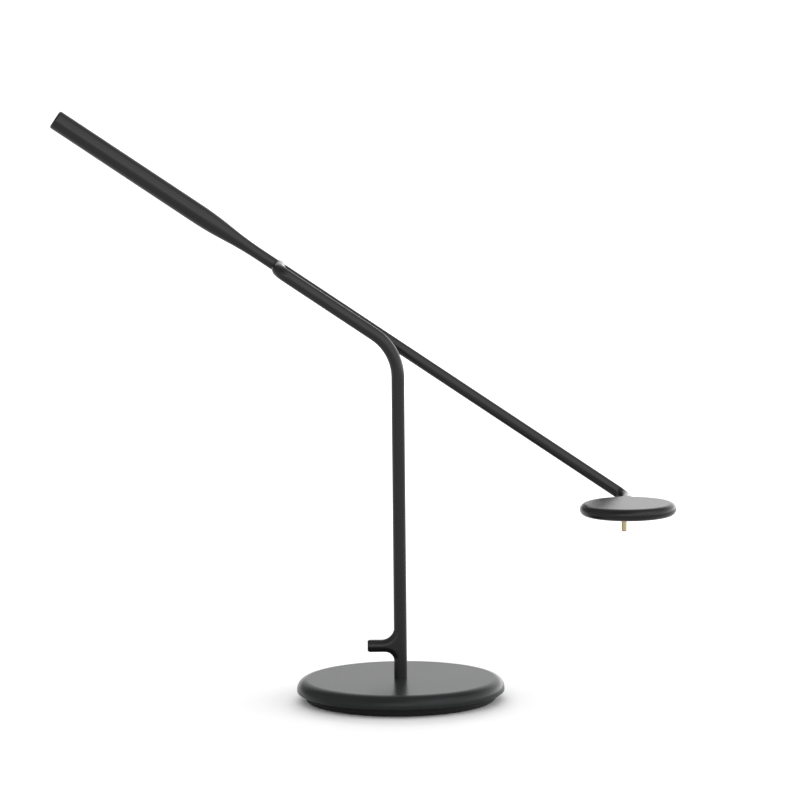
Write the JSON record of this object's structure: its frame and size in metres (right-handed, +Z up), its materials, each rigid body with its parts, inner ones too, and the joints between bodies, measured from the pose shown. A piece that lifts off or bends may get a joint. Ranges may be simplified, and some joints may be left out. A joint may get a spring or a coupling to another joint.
{
  "type": "counterweight desk lamp",
  "caption": "Desk lamp: weighted disc base, bent tube stem with a cord outlet, tilting arm with a counterweight, and a flat disc head on a turning neck with a push pin.",
  "frame": {"origin": "centre of the flat underside of the base", "axes": "+Z up, +X towards the head, -X towards the counterweight and the cord outlet, +Y to the side of the stem on which the arm lies"},
  "size_m": [0.5937, 0.2, 0.5684],
  "materials": {
    "coated_steel": "satin",
    "coated_aluminium": "satin",
    "foot_plastic": "matte",
    "pad_rubber": "matte",
    "grommet_rubber": "matte",
    "ballast": "matte",
    "steel": "satin",
    "bearing_plastic": "satin",
    "brass": "satin",
    "diffuser": "matte",
    "ring_plastic": "satin",
    "board": "satin",
    "led": "satin",
    "thermal_pad": "matte",
    "connector": "gloss",
    "switch": "satin",
    "wire": "satin"
  },
  "bodies": {
    "base": {"base_cover": "coated_steel", "base_weight": "ballast", "base_foot": "foot_plastic", "base_pad": "pad_rubber", "base_screws": "steel", "stem_stud": "steel", "stem_washer": "steel", "stem_nut": "steel", "stem": "coated_steel", "outlet_grommet": "grommet_rubber", "stem_lead": "wire", "pivot_shaft": "steel", "pivot_washer": "bearing_plastic", "pivot_spring_washer": "steel", "pivot_nut": "steel"},
    "arm": {"arm": "coated_aluminium", "pivot_bush": "bearing_plastic", "hub_cap": "coated_steel", "counterweight": "coated_steel", "counterweight_screw": "steel", "arm_lead": "wire", "head_shaft": "steel", "head_washer": "bearing_plastic", "head_spring_washer": "steel", "head_nut": "steel"},
    "head": {"head_shell": "coated_aluminium", "head_bush": "bearing_plastic", "head_lead": "wire", "thermal_pad": "thermal_pad", "led_board": "board", "leds": "led", "board_screws": "steel", "board_connector": "connector", "diffuser": "diffuser", "diffuser_ring": "ring_plastic", "pin_bush": "bearing_plastic", "dimmer_switch": "switch"},
    "pin": {"dimmer_pin": "brass"}
  },
  "joints": [
    {"name": "arm_tilt", "type": "hinge", "parent": "base", "child": "arm", "pos_m": [-0.1132, 0.03, 0.4166], "axis": [0, -1, 0], "range_deg": [-20, 70]},
    {"name": "head_tilt", "type": "hinge", "parent": "arm", "child": "head", "pos_m": [0.21744, 0.01, 0.19148], "axis": [0, -1, 0], "range_deg": [-90, 90]},
    {"name": "dimmer_press", "type": "slide", "parent": "head", "child": "pin", "axis": [0, 0, 1], "range_m": [0, 0.0012], "stiffness_N_per_m": 1000, "springref_m": -0.001}
  ]
}
